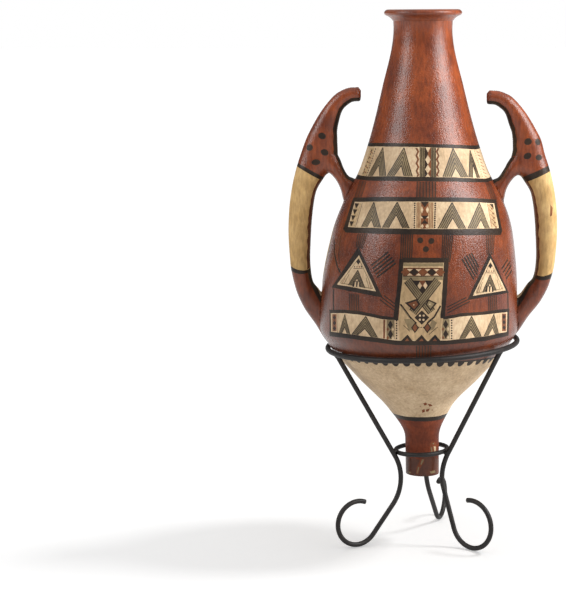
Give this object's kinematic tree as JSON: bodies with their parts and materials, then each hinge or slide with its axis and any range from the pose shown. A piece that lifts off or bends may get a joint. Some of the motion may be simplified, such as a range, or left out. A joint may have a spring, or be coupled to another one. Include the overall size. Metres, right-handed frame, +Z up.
{
  "type": "two-handled pottery jar on stand",
  "caption": "Tall hollow earthenware water jar with a flared rim, horned side handles and a narrow foot, held upright in a wrought-iron stand of round rod with scrolled legs.",
  "frame": {"origin": "on the floor, in the middle of the object's footprint, between the legs of the stand", "axes": "+Z up along the jar, -Y towards the painted front, +X to the right handle as seen from the front"},
  "size_m": [0.3738, 0.2774, 0.7459],
  "materials": {
    "red_slip_earthenware": "burnished slip under a thin gloss of resin varnish",
    "blackened_wrought_iron": "satin black, lightly uneven"
  },
  "bodies": {
    "root": {"jar": "red_slip_earthenware", "upper_ring": "blackened_wrought_iron", "lower_ring": "blackened_wrought_iron", "leg_left": "blackened_wrought_iron", "leg_right": "blackened_wrought_iron", "leg_back": "blackened_wrought_iron"}
  },
  "joints": []
}
